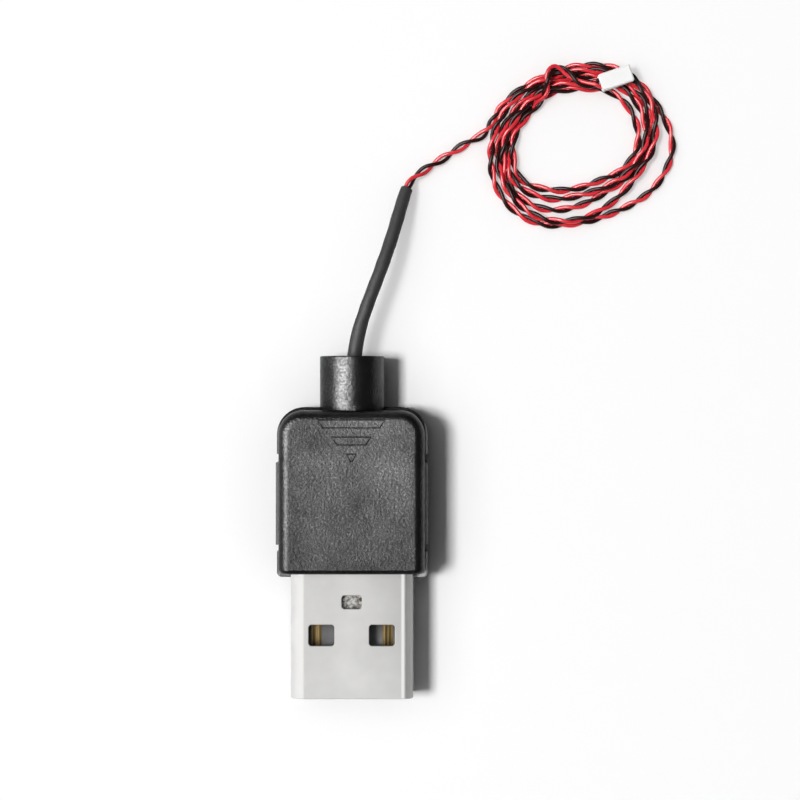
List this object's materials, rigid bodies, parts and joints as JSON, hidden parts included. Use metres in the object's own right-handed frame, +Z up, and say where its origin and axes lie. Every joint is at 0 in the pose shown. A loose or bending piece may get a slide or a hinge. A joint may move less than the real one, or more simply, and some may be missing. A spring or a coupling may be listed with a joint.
{
  "type": "usb power cable",
  "caption": "Flat rectangular power plug in a snap-together housing, on a thin twisted red and black lead that lies in a loose coil and ends in a small white wire connector",
  "frame": {"origin": "on the resting plane, under the middle of the plug and its housing with the collar, lead and coil left out", "axes": "+Y runs from the plug's mouth towards the collar where the lead leaves, +X is to the right with the direction mark upwards, +Z is up from the resting plane"},
  "size_m": [0.04, 0.0632, 0.0081],
  "materials": {
    "housing_plastic": "black moulded plastic with a fine spark-eroded texture on its flat faces",
    "shell_metal": "nickel-plated sheet steel, satin, folded with a butt seam underneath",
    "carrier_plastic": "pale moulded insulator",
    "contact_metal": "gold-flashed brass strip",
    "sleeve_plastic": "black heat-shrink tube, soft sheen, unprinted",
    "pair_insulation": "red and black insulation, twisted pair",
    "red_insulation": "red insulation",
    "black_insulation": "black insulation",
    "copper": "stranded bare copper",
    "solder": "tin solder, bright",
    "connector_plastic": "white moulded plastic",
    "terminal_metal": "tinned phosphor bronze, folded"
  },
  "bodies": {
    "root": {"upper_cover": "housing_plastic", "lower_cover": "housing_plastic", "plug_shell": "shell_metal", "contact_carrier": "carrier_plastic", "contact_power": "contact_metal", "contact_data_minus": "contact_metal", "contact_data_plus": "contact_metal", "contact_ground": "contact_metal", "power_wire_end": "red_insulation", "power_bare_end": "copper", "power_solder_joint": "solder", "ground_wire_end": "black_insulation", "ground_bare_end": "copper", "ground_solder_joint": "solder", "heat_shrink_sleeve": "sleeve_plastic", "twisted_pair_lead": "pair_insulation", "lead_coil": "pair_insulation", "wire_connector_housing": "connector_plastic", "crimp_terminal_power": "terminal_metal", "crimp_terminal_ground": "terminal_metal"}
  },
  "joints": []
}
